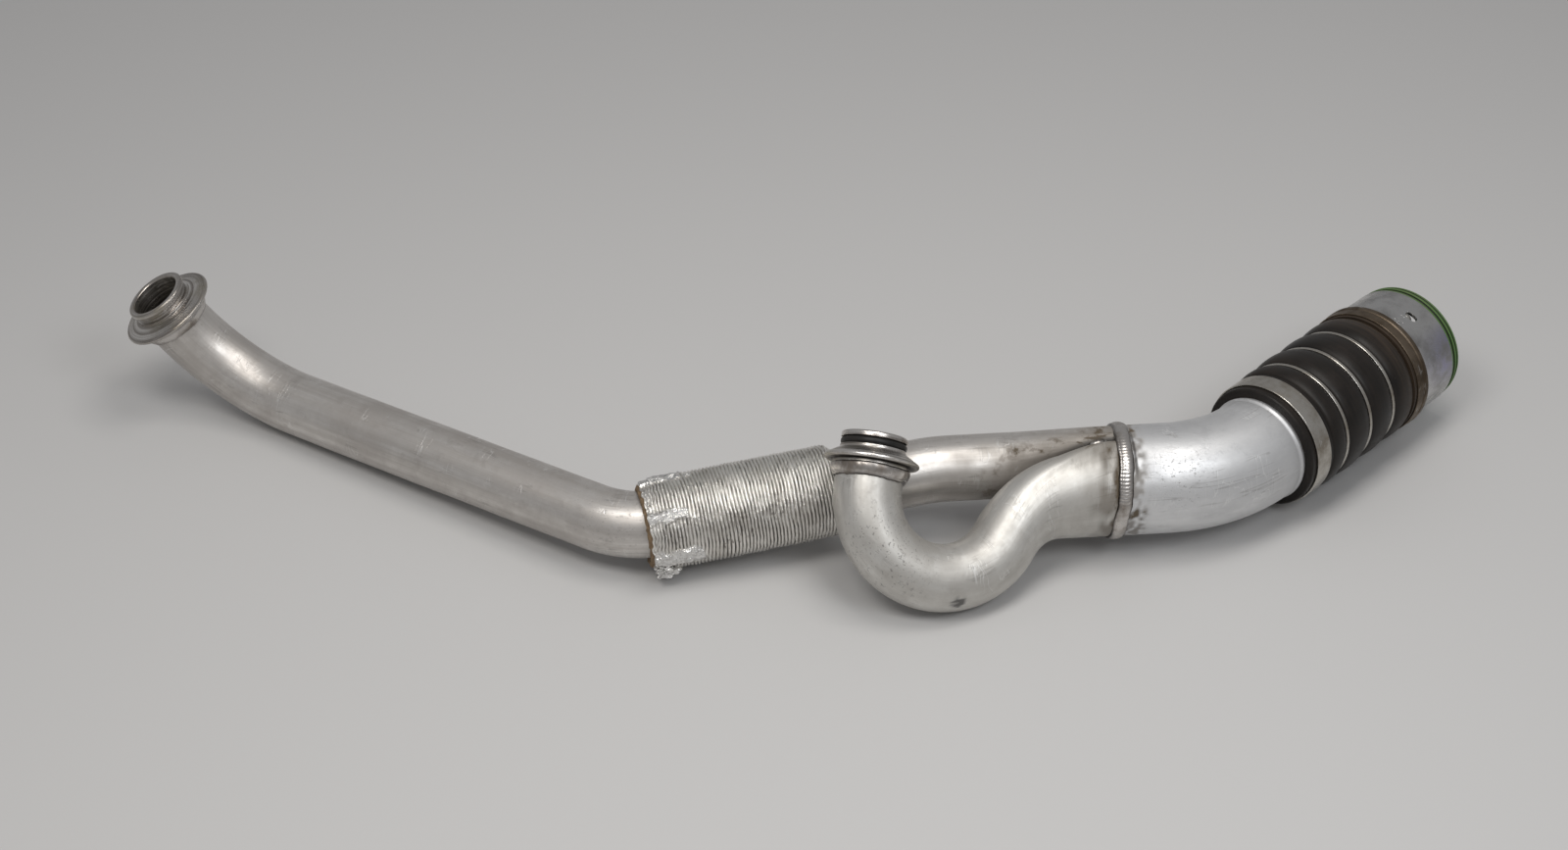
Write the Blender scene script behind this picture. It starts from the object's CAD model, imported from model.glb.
# %% [markdown]
# # A used charge air cooler pipe
# Two bent aluminium runners come from two turbochargers, merge into one wide elbow, and a rubber
# bellows hose with a quick connector takes the air on to the cooler. This lesson dresses the packed
# solids: each piece is rebuilt finer on the same sizes, then gets a finish made of shader nodes.
# The first cell loads the solids as a fixed frame and keeps their box, to compare sizes at the end.

# %% Load the solids
import math

import bmesh
import bpy
import numpy as np
from mathutils import Matrix, Vector, kdtree, noise


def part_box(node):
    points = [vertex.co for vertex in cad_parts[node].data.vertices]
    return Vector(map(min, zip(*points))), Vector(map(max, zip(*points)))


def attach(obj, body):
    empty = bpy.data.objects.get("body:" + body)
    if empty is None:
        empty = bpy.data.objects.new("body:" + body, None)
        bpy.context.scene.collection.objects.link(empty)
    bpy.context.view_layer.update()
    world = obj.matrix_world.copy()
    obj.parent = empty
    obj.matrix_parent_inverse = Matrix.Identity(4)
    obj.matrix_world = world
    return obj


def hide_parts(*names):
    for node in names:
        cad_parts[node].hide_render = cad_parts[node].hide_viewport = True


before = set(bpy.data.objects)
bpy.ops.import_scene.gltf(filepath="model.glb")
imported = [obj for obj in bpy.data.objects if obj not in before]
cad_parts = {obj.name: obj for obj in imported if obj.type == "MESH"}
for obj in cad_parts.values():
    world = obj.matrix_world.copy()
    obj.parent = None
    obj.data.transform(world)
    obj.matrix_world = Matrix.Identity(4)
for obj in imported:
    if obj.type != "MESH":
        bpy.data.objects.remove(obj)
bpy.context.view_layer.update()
MM = 0.001
BODY = "root"

# %% [markdown]
# ## From a mesh to a piece of the pipe
# Every piece ends in the same way: its mesh is shaded smooth with the hard edges kept, and the
# object is tied to the pipe's one body, to the solid it stands for and to that solid's slot. That
# could be done by hand in the Properties editor. Short functions do it alike for all pieces.

# %% Make a mesh and tie it to the pipe
def new_mesh(name, points, faces):
    """A mesh from points in millimetres."""
    mesh = bpy.data.meshes.new(name)
    mesh.from_pydata((points.reshape(-1, 3) * MM).tolist(), [], faces)
    return mesh


def points_of(mesh):
    """All points of a mesh, in metres."""
    return np.array([vertex.co for vertex in mesh.vertices])


def shade_smooth(mesh):
    mesh.polygons.foreach_set("use_smooth", np.ones(len(mesh.polygons), dtype=bool))


def smooth_mesh(mesh, sharp_angle):
    """Face outwards, shade smooth and keep edges steeper than the angle sharp."""
    work = bmesh.new()
    work.from_mesh(mesh)
    bmesh.ops.recalc_face_normals(work, faces=work.faces)
    work.to_mesh(mesh)
    work.free()
    shade_smooth(mesh)
    mesh.set_sharp_from_angle(angle=math.radians(sharp_angle))
    mesh.update()


def add_object(name, data):
    obj = bpy.data.objects.new(name, data)
    bpy.context.scene.collection.objects.link(obj)
    return obj


def add_piece(name, mesh, nodes):
    """Ride on the pipe, stand for its solids and take their material slot."""
    piece = add_object(name, mesh)
    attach(piece, BODY)
    if nodes:
        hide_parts(*nodes)
    print(f"{name}: {len(mesh.polygons)} faces")
    return piece


# %% [markdown]
# ## One way to make every skin
# Tubes, hoses, rings and beads are all rings of points joined into a closed skin. Blender's curve
# bevel or the Screw modifier could make some of them, but neither keeps a place for each point on
# the straightened tube. That place is stored in an attribute called unrolled, so that drawn lines
# can run along a bend and turned lines round a flange with no seam.

# %% Join rings into a closed skin
SHARP = 38


def ring_angles(count):
    return np.linspace(0, 2 * math.pi, count, endpoint=False)


def mark_places(mesh, places):
    """Store where each point lies on the straightened piece, in metres."""
    layer = mesh.attributes.get("unrolled")
    if layer is None:
        layer = mesh.attributes.new("unrolled", "FLOAT_VECTOR", "POINT")
    layer.data.foreach_set("vector", places.astype(np.float32).ravel())


def ring_skin(name, rings, places, nodes, sharp_angle=SHARP):
    """Rings of points in millimetres, joined round and from last to first."""
    count, around = rings.shape[:2]
    index = np.arange(count * around).reshape(count, around)
    ahead = np.roll(index, -1, axis=0)
    quads = np.stack([index, np.roll(index, -1, 1), np.roll(ahead, -1, 1), ahead], axis=-1)
    mesh = new_mesh(name, rings, quads.reshape(-1, 4).tolist())
    smooth_mesh(mesh, sharp_angle)
    mark_places(mesh, places * MM)
    return add_piece(name, mesh, nodes)


# %% [markdown]
# ## Paint, noise and soft steps
# Dirt and wear sit in certain spots of this pipe. Texture paint would need an image, so a number is
# stored at each point instead, and a finish reads it by name. Two small helpers shape such numbers:
# smooth noise from Blender's own noise module, and a step with a soft start and end.

# %% Store numbers on a skin
def paint(obj, name, values):
    """Store one number per point, for a finish to read."""
    layer = obj.data.attributes.new(name, "FLOAT", "POINT")
    layer.data.foreach_set("value", np.clip(values, 0, 1).astype(np.float32).ravel())


def lumps(places, size, seed):
    """Smooth noise from -1 to 1 at each place; size is in millimetres."""
    spots = places.reshape(-1, 3) / size + seed
    return np.array([noise.noise(Vector(spot)) for spot in spots]).reshape(places.shape[:-1])


def ease(values, low, high):
    """0 below low, 1 above high, with a soft start and end."""
    share = np.clip((values - low) / (high - low), 0, 1)
    return share * share * (3 - 2 * share)


# %% [markdown]
# ## The route of a bent tube
# A tube bender works from a table: feed so much, roll the tube, bend to a radius by an angle. The
# same table gives the route here. The side vector is only turned by the bends, so the rings
# never twist against each other.

# %% Follow a bender's table
def turn(vector, axis, degrees):
    return np.array(Matrix.Rotation(math.radians(degrees), 3, Vector(axis)) @ Vector(vector))


def shares(length, step):
    """Even steps along a length, the last one at its end."""
    return np.linspace(0, 1, int(math.ceil(length / step)) + 1)[1:]


def bent_route(start, along, side, table, tail, step):
    """Points, directions, side vectors and distances along a bent tube."""
    point, along, side = (np.array(v, float) for v in (start, along, side))
    across = np.array((0.0, 0.0, 1.0))
    stations = [(point, along, side)]
    for feed_length, roll, radius, angle in table + [(tail, 0, 1, 0)]:
        for share in shares(feed_length, step):
            stations.append((point + along * feed_length * share, along, side))
        point = point + along * feed_length
        across = turn(across, along, roll)
        hinge = np.cross(along, across)
        centre = point + across * radius
        for share in shares(radius * math.radians(angle), step):
            swing = angle * share
            arm = turn(point - centre, hinge, swing)
            stations.append((centre + arm, turn(along, hinge, swing), turn(side, hinge, swing)))
        point, along, side = stations[-1]
        across = turn(across, hinge, angle)
    points, alongs, sides = (np.array(part) for part in zip(*stations))
    gaps = np.linalg.norm(np.diff(points, axis=0), axis=1)
    distances = np.concatenate([[0], np.cumsum(gaps)])
    return {"points": points, "along": alongs, "side": sides, "at": distances}


def route_end(route):
    return route["points"][-1], route["along"][-1], route["side"][-1]


weld_low, weld_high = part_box("collector_weld")
weld = np.array((weld_low + weld_high) / 2) / MM
print("weld centre:", weld.round(2))

# %% [markdown]
# ## The sections of a runner
# Each runner is a 38 mm drawn tube that is pressed into half of the collector's circle at the weld.
# A loft between a round and a D-shaped section makes that: both sections have the same number of
# points, so the press is a blend from one to the other along the route, bend included.

# %% A round and a pressed section
TUBE_RADIUS = 19
TUBE_WALL = 1.5
RUNNER_OFFSET = 19.5
COLLECTOR_RADIUS = 31.5
SEAM = 0.15
PRESSED_CORNER = 4.5
BACK_POINTS, CORNER_POINTS, FLAT_POINTS = 32, 21, 22
ROUND_BOUNDS = (-60, 60, 140, 220, 300)


def arc_points(centre, radius, first, last, count):
    angles = np.linspace(first, last, count, endpoint=False)
    return np.c_[centre[0] + radius * np.cos(angles), centre[1] + radius * np.sin(angles)]


def round_section(radius):
    bounds = np.radians(ROUND_BOUNDS)
    counts = (BACK_POINTS, CORNER_POINTS, FLAT_POINTS, CORNER_POINTS)
    arcs = [arc_points((0, 0), radius, bounds[i], bounds[i + 1], counts[i]) for i in range(4)]
    return np.concatenate(arcs)


def pressed_section(inset):
    """Half of the collector's circle, measured from the runner's own centre."""
    radius = COLLECTOR_RADIUS - inset
    flat = SEAM + inset
    corner_y = flat + PRESSED_CORNER
    corner_z = math.sqrt((radius - PRESSED_CORNER) ** 2 - corner_y ** 2)
    lean = math.atan2(corner_z, corner_y)
    back = arc_points((0, 0), radius, -lean, lean, BACK_POINTS)
    upper = arc_points((corner_y, corner_z), PRESSED_CORNER, lean, math.pi, CORNER_POINTS)
    seam_heights = np.linspace(corner_z, -corner_z, FLAT_POINTS, endpoint=False)
    seam = np.c_[np.full(FLAT_POINTS, flat), seam_heights]
    lower = arc_points((corner_y, -corner_z), PRESSED_CORNER, -math.pi, -lean, CORNER_POINTS)
    return np.concatenate([back, upper, seam, lower]) - (RUNNER_OFFSET, 0)


print("points in a section:", len(round_section(TUBE_RADIUS)), len(pressed_section(0)))

# %% [markdown]
# ## Both runners
# The long runner bends three times on its way to the far spigot, the short one turns back in a U.
# A curve with a round bevel would do for the plain tube, but not for the pressed end. Sections set
# along the route do both. Shallow waves of a sixth of a millimetre are added, because a perfectly
# even tube gives itself away in its reflections.

# %% Set sections along a route
def route_rings(route, sections):
    """Set one section at each station of a route."""
    up = np.cross(route["side"], route["along"])
    return (
        route["points"][:, None]
        + sections[..., :1] * route["side"][:, None]
        + sections[..., 1:] * up[:, None]
    )


def with_distance(sections, route):
    """Unrolled places: a section's two numbers and the distance along the route."""
    along = np.broadcast_to(route["at"][:, None, None], (len(route["at"]), sections.shape[-2], 1))
    return np.concatenate([np.broadcast_to(sections, along.shape[:2] + (2,)), along], axis=-1)


def there_and_back(outer, inner):
    """Join an outer and an inner skin into one closed run of rings."""
    return [np.concatenate([out, back[::-1]]) for out, back in zip(outer, inner)]


# %% Build both runners
REAR_TABLE = [(92.5, 245, 120, 9), (145, 204, 57, 45.5), (219, 253, 80, 71)]
REAR_TAIL = 2
REAR_MERGE = 72
FRONT_TABLE = [(35, 231.5, 40, 56), (2, 164, 43.5, 157.5)]
FRONT_TAIL = 8.5
FRONT_MERGE = 74.1
LAND = 5
RUNNER_STEP = 1.6
DENT_SIZE = 38
DENT_DEPTH = 0.16


def runner_route(side, table, tail):
    start = weld + np.array((0, side * RUNNER_OFFSET, 0))
    return bent_route(start, (-1, 0, 0), (0, side, 0), table, tail, RUNNER_STEP)


def runner_skin(route, merge, inset, seed):
    """Rings and places of one skin of a runner that is round from the merge's end on."""
    pressed = 1 - ease(route["at"], LAND, merge)[:, None, None]
    plain = round_section(TUBE_RADIUS - inset)
    sections = plain * (1 - pressed) + pressed_section(inset) * pressed
    places = with_distance(plain, route)
    swell = 1 + DENT_DEPTH / TUBE_RADIUS * lumps(places, DENT_SIZE, seed)
    return route_rings(route, sections * swell[..., None]), places


def runner(name, route, merge, seed):
    outer = runner_skin(route, merge, 0, seed)
    inner = runner_skin(route, merge, TUBE_WALL, seed)
    rings, places = there_and_back(outer, inner)
    piece = ring_skin(name + "_finish", rings, places, [name])
    return piece, rings, places


rear_route = runner_route(1, REAR_TABLE, REAR_TAIL)
front_route = runner_route(-1, FRONT_TABLE, FRONT_TAIL)
rear_tube, rear_rings, rear_places = runner("rear_runner_tube", rear_route, REAR_MERGE, 3.7)
front_tube, front_rings, front_places = runner("front_runner_tube", front_route, FRONT_MERGE, 9.1)

# %% [markdown]
# ## Grime between the runners
# Grime gathers where the two runners lie close together, and nothing washes it out there. It
# could be painted by hand in texture paint. Measuring the gap between the two skins gives
# the same dirt line by itself, and follows the tubes if a bend changes.

# %% Measure nearness
def nearness(rings, others, reach):
    """1 where another skin touches, 0 from reach millimetres away."""
    spots = others.reshape(-1, 3)
    tree = kdtree.KDTree(len(spots))
    for i, spot in enumerate(spots):
        tree.insert(spot, i)
    tree.balance()
    gaps = np.array([tree.find(spot)[2] for spot in rings.reshape(-1, 3)])
    return 1 - ease(gaps.reshape(rings.shape[:-1]), 0.15 * reach, reach)


def around(rings, offset, reach):
    """1 at a place given from the weld's centre, 0 from reach millimetres away."""
    gaps = np.linalg.norm(rings - (weld + np.array(offset)), axis=-1)
    return 1 - ease(gaps, 0.3 * reach, reach)


def weld_dirt(places, reach):
    """Patchy dirt that fades along a tube, away from the weld."""
    return (1 - ease(places[..., 2], 3, reach)) * (1.15 + 1.9 * lumps(places, 5, 2.2))


# %% Paint the runners' dirt
CROTCH_REACH = 24
BLACK_REACH = 5
WELD_REACH = 26
SMEAR_END = (50, 105)
BURNT_SPOT = (-99.4, -71.4, -23)
SPECKED_FLANK = (-143, -64, 6)
SCUFFED_BEND = (-292, -8, 2)

burnt = around(front_rings, BURNT_SPOT, 5.5) * (1.9 + 5 * lumps(front_places, 2.4, 11.3))
inner_side = ease(-rear_places[..., 0], -4, 12) * (1 - ease(rear_places[..., 2], *SMEAR_END))
smear = inner_side * (0.8 + 1.2 * lumps(rear_places, 12, 1.7))
rear_crotch = nearness(rear_rings, front_rings, CROTCH_REACH)
front_crotch = nearness(front_rings, rear_rings, CROTCH_REACH) * 0.8
rear_soil = np.maximum(rear_crotch, weld_dirt(rear_places, WELD_REACH))
paint(rear_tube, "soil", np.maximum(rear_soil, smear))
paint(front_tube, "soil", np.maximum(front_crotch, weld_dirt(front_places, WELD_REACH)))
paint(rear_tube, "char", nearness(rear_rings, front_rings, BLACK_REACH))
paint(front_tube, "char", np.maximum(burnt, nearness(front_rings, rear_rings, BLACK_REACH)))
paint(rear_tube, "pitted", 0.3 * around(rear_rings, SCUFFED_BEND, 40))
paint(front_tube, "pitted", 0.75 * around(front_rings, SPECKED_FLANK, 42))
print("points in the crotch:", int((rear_crotch > 0).sum()), int((front_crotch > 0).sum()))

# %% [markdown]
# ## The collector elbow
# The elbow is one wide tube with a rolled bead that the hose's cuff butts against. The bead is a
# local change of radius along the route, so elbow and bead stay one skin as on the real tube.

# %% Build the elbow
ELBOW_TABLE = [(29, -90, 90, 40)]
ELBOW_TAIL = 24
ELBOW_WALL = 2
ELBOW_STEP = 0.8
ELBOW_POINTS = 144
BEAD_RADIUS = 2
BEAD_HEIGHT = 0.8
HOSE_START = 3.8


def elbow_run(tail):
    return bent_route(weld, (1, 0, 0), (0, 1, 0), ELBOW_TABLE, tail, ELBOW_STEP)


def tube_skin(route, radii, count):
    angles = ring_angles(count)
    sections = radii[:, None, None] * np.stack([np.cos(angles), np.sin(angles)], axis=-1)
    return route_rings(route, sections), with_distance(sections, route)


elbow_route = elbow_run(ELBOW_TAIL)
hose_place = route_end(elbow_run(0))
bend_end = elbow_route["at"][-1] - ELBOW_TAIL
bead_at = bend_end + HOSE_START - BEAD_RADIUS
from_bead = np.clip(np.abs(elbow_route["at"] - bead_at), 0, BEAD_RADIUS)
bead_top = COLLECTOR_RADIUS + BEAD_HEIGHT
bead = bead_top - BEAD_RADIUS + np.sqrt(BEAD_RADIUS ** 2 - from_bead ** 2)
outer_radii = np.maximum(COLLECTOR_RADIUS, bead)
inner_radii = np.full(len(outer_radii), COLLECTOR_RADIUS - ELBOW_WALL)
elbow_rings, elbow_places = there_and_back(
    tube_skin(elbow_route, outer_radii, ELBOW_POINTS), tube_skin(elbow_route, inner_radii, ELBOW_POINTS))
elbow = ring_skin("collector_elbow_finish", elbow_rings, elbow_places,
                  ["collector_elbow"])

# %% [markdown]
# ## Stains on the elbow
# Heat and oil left brown stains beside the weld, a fine dark crack line in them, and small pits on
# the flank. All three are painted by distance: along the tube for the stains, from a given spot for
# the rest. Noise breaks up their edges, because a stain that ends in a clean line looks printed.

# %% Paint the elbow's stains
PITTED_FLANK = (33, -24, 20)
STAIN_END = (8, 15)
CRACK_AT, CRACK_NEAR = 6.6, (7, -10, 30)

stained = (1 - ease(elbow_places[..., 2], *STAIN_END)) * (0.75 + 2.2 * lumps(elbow_places, 3.5, 2.2))
crack_line = elbow_places[..., 2] - CRACK_AT - 0.5 * lumps(elbow_places, 3, 4.1)
crack = 1 - ease(np.abs(crack_line), 0.4, 1.1)
paint(elbow, "soil", stained)
paint(elbow, "char", crack * around(elbow_rings, CRACK_NEAR, 22))
paint(elbow, "pitted", 0.55 * around(elbow_rings, PITTED_FLANK, 24))
print("stained points on the elbow:", int((stained > 0).sum()))

# %% [markdown]
# ## Turned pieces
# Spigots, rings, seals and the hose are all round about one axis, so each is an outline that is
# spun. The corners of an outline are rounded first: a real edge is never quite sharp, and the
# narrow round is what catches the light.

# %% Round an outline's corners
def rounded(outline, radius, steps=4):
    """Replace each corner of a closed outline by a short curve."""
    points = np.array(outline, float)
    result = []
    for before, corner, after in zip(np.roll(points, 1, 0), points, np.roll(points, -1, 0)):
        back, ahead = before - corner, after - corner
        back_length, ahead_length = np.linalg.norm(back), np.linalg.norm(ahead)
        reach = min(radius, 0.45 * back_length, 0.45 * ahead_length)
        first = corner + back / back_length * reach
        last = corner + ahead / ahead_length * reach
        for t in np.linspace(0, 1, steps + 1):
            result.append((1 - t) ** 2 * first + 2 * t * (1 - t) * corner + t ** 2 * last)
    return np.array(result)


# %% Spin an outline
ROUND_POINTS = 144


def spin(radii, heights, place, count=ROUND_POINTS):
    """Rings from radius and height of each outline point, which may change round the axis."""
    origin, axis, side = place
    angles = ring_angles(count)
    radii = np.broadcast_to(radii, (len(radii), count))
    heights = np.broadcast_to(heights, (len(heights), count))
    local = np.stack([radii * np.cos(angles), radii * np.sin(angles), heights], axis=-1)
    up = np.cross(axis, side)
    rings = origin + local[..., :1] * side + local[..., 1:2] * up + local[..., 2:] * axis
    return rings, local


def turned(name, outline, place, nodes):
    """A spun piece; its third unrolled number runs along the outline, so lathe lines follow it."""
    points = np.array(outline, float)
    rings, places = spin(points[:, :1], points[:, 1:], place)
    gaps = np.linalg.norm(np.diff(points, axis=0), axis=1)
    places[..., 2] = np.concatenate([[0], np.cumsum(gaps)])[:, None]
    return ring_skin(name, rings, places, nodes)


def paint_outline(piece, name, values):
    """Paint a turned piece with one number for each point of its outline."""
    paint(piece, name, np.broadcast_to(values[:, None], (len(values), ROUND_POINTS)))


def within(points, radii, heights):
    """Which outline points lie between two radii and two heights."""
    low, high = zip(radii, heights)
    return ((points > low) & (points < high)).all(axis=1)


print("points round a turned piece:", ROUND_POINTS)

# %% [markdown]
# ## The two turbo spigots
# A spigot is turned from solid bar: a neck for the weld, a flange that stops it in the turbo's
# outlet, a cone, and a tip with a groove for an O-ring. Loop cuts and bevels on a cylinder would
# give the same form. An outline in numbers is quicker to correct, and both spigots share it.

# %% Build the spigots
TIP = 18.7
GROOVE = 16.3
BORE = 15
NECK = 21.75
NECK_FOOT = 2
FLANGE_LOW, FLANGE_HIGH = 4, 6.6
CHAMFER = 0.8
GROOVE_WIDTH = 4.2
TIP_LAND, CONE_LAND = 3.2, 1.6
EDGE_ROUND = 0.35
DIRTY_NECK = ((18.9, 23.5), (2.6, 4.5))


def spigot(name, length, flange, place, node):
    """Neck, flange, cone, groove and tip, with the bore inside."""
    groove_end = length - TIP_LAND
    groove_start = groove_end - GROOVE_WIDTH
    outline = [
        (TUBE_RADIUS - TUBE_WALL, 0), (TUBE_RADIUS, 0), (NECK, NECK_FOOT), (NECK, FLANGE_LOW),
        (flange - CHAMFER, FLANGE_LOW), (flange, FLANGE_LOW + CHAMFER),
        (flange, FLANGE_HIGH - CHAMFER), (flange - CHAMFER, FLANGE_HIGH),
        (TIP, groove_start - CONE_LAND), (TIP, groove_start), (GROOVE, groove_start),
        (GROOVE, groove_end), (TIP, groove_end), (TIP, length - CHAMFER), (TIP - CHAMFER, length),
        (BORE + CHAMFER, length), (BORE, length - CHAMFER), (BORE, NECK_FOOT),
    ]
    points = rounded(outline, EDGE_ROUND)
    piece = turned(name, points, place, [node])
    paint_outline(piece, "soil", within(points, *DIRTY_NECK))
    return piece


rear_end = route_end(rear_route)
front_end = route_end(front_route)
rear_spigot = spigot("rear_spigot_finish", 18, 28.95, rear_end, "rear_turbo_spigot")
front_spigot = spigot("front_spigot_finish", 20, 26.85, front_end, "front_turbo_spigot")

# %% [markdown]
# ## The O-ring
# Only the front groove still has its black O-ring, squeezed level with the tip. A torus would stand
# proud of the groove, so the ring gets an outline of its own: flat inside, bowed outside.

# %% Build the O-ring
O_RING_OUTLINE = [
    (16.4, 12.7), (17.6, 12.7), (18.55, 13.8), (18.66, 14.7), (18.55, 15.6), (17.6, 16.7), (16.4, 16.7),
]
o_ring = turned("o_ring_finish", rounded(O_RING_OUTLINE, 0.5), front_end,
                ["front_o_ring"])

# %% [markdown]
# ## Weld beads
# A weld is a row of frozen puddles. Its outline is a low bow, and the height and the edge change
# round the joint: a sharp-valleyed wave for the puddles, bowed back at the sides, and slow noise
# for the welder's hand. Bump alone would not show at the outline of the bead.

# %% A rippled bead
BOW_POINTS = 25
WELD_SHARP = 75
LIP_AT, GAP_AT = 0.09, 0.18
LIP_RISE = 0.18


def hump(share, middle, width):
    return np.exp(-((share - middle) / width) ** 2)


def weld_bead(name, place, foot, node, rise, ripples, seed, lean=(0, 0), count=480):
    """A bead on two foot points, each a radius and a height, that bows outwards between them."""
    (first_radius, first_height), (last_radius, last_height) = foot
    angles = ring_angles(count)[None, :]
    spots = np.stack([np.cos(angles) * 2, np.sin(angles) * 2, np.full(angles.shape, seed)], axis=-1)
    drift = lumps(spots, 1, 0)
    quiver = lumps(spots, 0.3, 5)
    share = np.linspace(0, 1, BOW_POINTS)[:, None]
    across = share * 2 - 1
    phase = ripples * angles + 2.2 * across ** 2 + 3 * drift
    puddle = (np.abs(np.cos(phase / 2)) - 0.6) * (0.04 + 0.1 * np.clip(drift + 0.3, 0, 1))
    bow = np.clip(1 - across ** 2, 0, 1) ** 0.6 * rise * (1 + 0.18 * drift) * (1 + puddle)
    lip = LIP_RISE * rise * (hump(share, LIP_AT, 0.035) - hump(share, GAP_AT, 0.03))
    radii = first_radius + (last_radius - first_radius) * share + bow + lip
    wander = (0.8 * drift + 0.35 * quiver) * np.abs(across)
    heights = first_height + (last_height - first_height) * share + wander
    heights = heights + lean[0] * np.cos(angles - math.radians(lean[1]))
    rings, places = spin(radii, heights, place, count)
    bead_piece = ring_skin(name, rings, places, [node], WELD_SHARP)
    paint(bead_piece, "soil", np.abs(across) ** 5 * (1.1 + 1.1 * drift))
    return bead_piece


# %% Build the three beads
COLLECTOR_FOOT = ((COLLECTOR_RADIUS, -4.3), (COLLECTOR_RADIUS, 4.3))
SPIGOT_FOOT = ((19.02, -5.5), (NECK, 1.95))

weld_place = (weld, np.array((1.0, 0, 0)), np.array((0, 1.0, 0)))
collector_bead = weld_bead("collector_weld_finish", weld_place, COLLECTOR_FOOT, "collector_weld",
                           rise=1.9, ripples=96, seed=1.3, lean=(2.4, 53), count=720)
rear_bead = weld_bead("rear_spigot_weld_finish", rear_end, SPIGOT_FOOT, "rear_spigot_weld",
                      rise=1.7, ripples=24, seed=5.1)
front_bead = weld_bead("front_spigot_weld_finish", front_end, SPIGOT_FOOT, "front_spigot_weld",
                       rise=1.5, ripples=24, seed=8.6)

# %% [markdown]
# ## The blob of weld in the crotch
# Where the runners part, the welder ended in one small blob with a swirl on top. Sculpting would do
# for a single blob. Moving the points of a ball by a function gives the swirl exactly, and the same
# function of the ball serves for a lump of foil later on.

# %% Build the blob
BLOB_HALF = (6, 4, 3)
BLOB_BEHIND = 11
BLOB_TOP = COLLECTOR_RADIUS - 2
SWIRL_TURNS, SWIRL_ASIDE = 9, 0.3


def ball_piece(name, centre, axes, shape, nodes, sharp_angle):
    """A ball of radius 1 that a shape function moves, set along three axes in millimetres."""
    work = bmesh.new()
    bmesh.ops.create_icosphere(work, subdivisions=4, radius=1)
    for vertex in work.verts:
        vertex.co = Vector((centre + shape(vertex.co) @ np.array(axes)) * MM)
    mesh = bpy.data.meshes.new(name)
    work.to_mesh(mesh)
    work.free()
    smooth_mesh(mesh, sharp_angle)
    mark_places(mesh, points_of(mesh))
    return add_piece(name, mesh, nodes)


def swirl_phase(x, y):
    return SWIRL_TURNS * np.hypot(x + SWIRL_ASIDE, y)


def swirled(spot):
    swirl = 0.05 * math.sin(swirl_phase(spot.x, spot.y))
    return np.array(spot) * BLOB_HALF * (1 + 0.12 * noise.noise(spot * 1.7) + swirl)


blob_centre = weld + np.array((-BLOB_BEHIND, 0, BLOB_TOP - BLOB_HALF[2]))
crotch_blob = ball_piece("crotch_weld_finish", blob_centre, np.eye(3), swirled,
                         ["crotch_weld"], WELD_SHARP)
blob_spots = (points_of(crotch_blob.data) / MM - blob_centre) / BLOB_HALF
swirl_valleys = ease(np.cos(swirl_phase(blob_spots[:, 0], blob_spots[:, 1])), 0.3, 1)
paint(crotch_blob, "soil", 0.9 * swirl_valleys)

# %% [markdown]
# ## The heat shield
# The long runner passes close to a hot part, so it wears a jacket of embossed foil over felt. The
# ribs are fine and a little uneven, and the foil is crushed flat in places at its free end. The
# ribs are real geometry, because they show as teeth along the jacket's outline.

# %% Where the jacket sits and where it is crushed
SHIELD_AFTER_BEND = 38
SHIELD_LENGTH = 122
BARREL = 25.9
PROFILE_HEIGHTS = (0, 6, 14, 114, SHIELD_LENGTH)
PROFILE_RADII = (19.9, 19.9, BARREL, BARREL, 24.3)
# Where the foil is folded flat over the free end: angle round the jacket, half width, length
TABS = ((297, 15, 27), (226, 8, 26), (166, 14, 30))


def place_on(route, distance):
    """The frame of a route's station at a distance."""
    station = int(np.argmin(np.abs(route["at"] - distance)))
    along = route["along"][station]
    origin = route["points"][station] + along * (distance - route["at"][station])
    return origin, along, route["side"][station]


def shield_profile(heights):
    """The jacket's plain radius: collar, cone, barrel and a crimped mouth."""
    return np.interp(heights, PROFILE_HEIGHTS, PROFILE_RADII)


def tab_mask(heights, degrees, ragged):
    """1 on the folded tabs, with ragged edges."""
    mask = np.zeros(np.broadcast(heights, degrees).shape)
    for middle, half, length in TABS:
        aside = np.abs((degrees - middle + 180) % 360 - 180) + 5 * ragged
        from_end = SHIELD_LENGTH - heights + 7 * ragged
        tab = (1 - ease(aside, half - 3, half + 1)) * (1 - ease(from_end, length - 3, length))
        mask = np.maximum(mask, tab)
    return mask


first_feed, _, first_radius, first_angle = REAR_TABLE[0]
shield_start = first_feed + math.radians(first_angle) * first_radius + SHIELD_AFTER_BEND
shield_place = place_on(rear_route, shield_start)
print("jacket starts at", round(shield_start, 1), "mm from the weld")

# %% [markdown]
# ## The jacket's ribs
# The ribs are pleats: broad crests with narrow valleys, which a high power of a cosine gives. Slow
# noise bends the rows, fine noise changes each rib, and the tabs press them flat. An array of rings
# would be too even, and a bump too smooth at the edge. Dirt is painted into the valleys.

# %% The ribbed jacket
SHIELD_WALL = 0.8
FELT_GAP = 0.4
RIB_PITCH = 2.05
RIB_DEPTH = 0.55
SAMPLES_PER_RIB = 8
JACKET_POINTS = 160
FOIL_SHARP = 80


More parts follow.
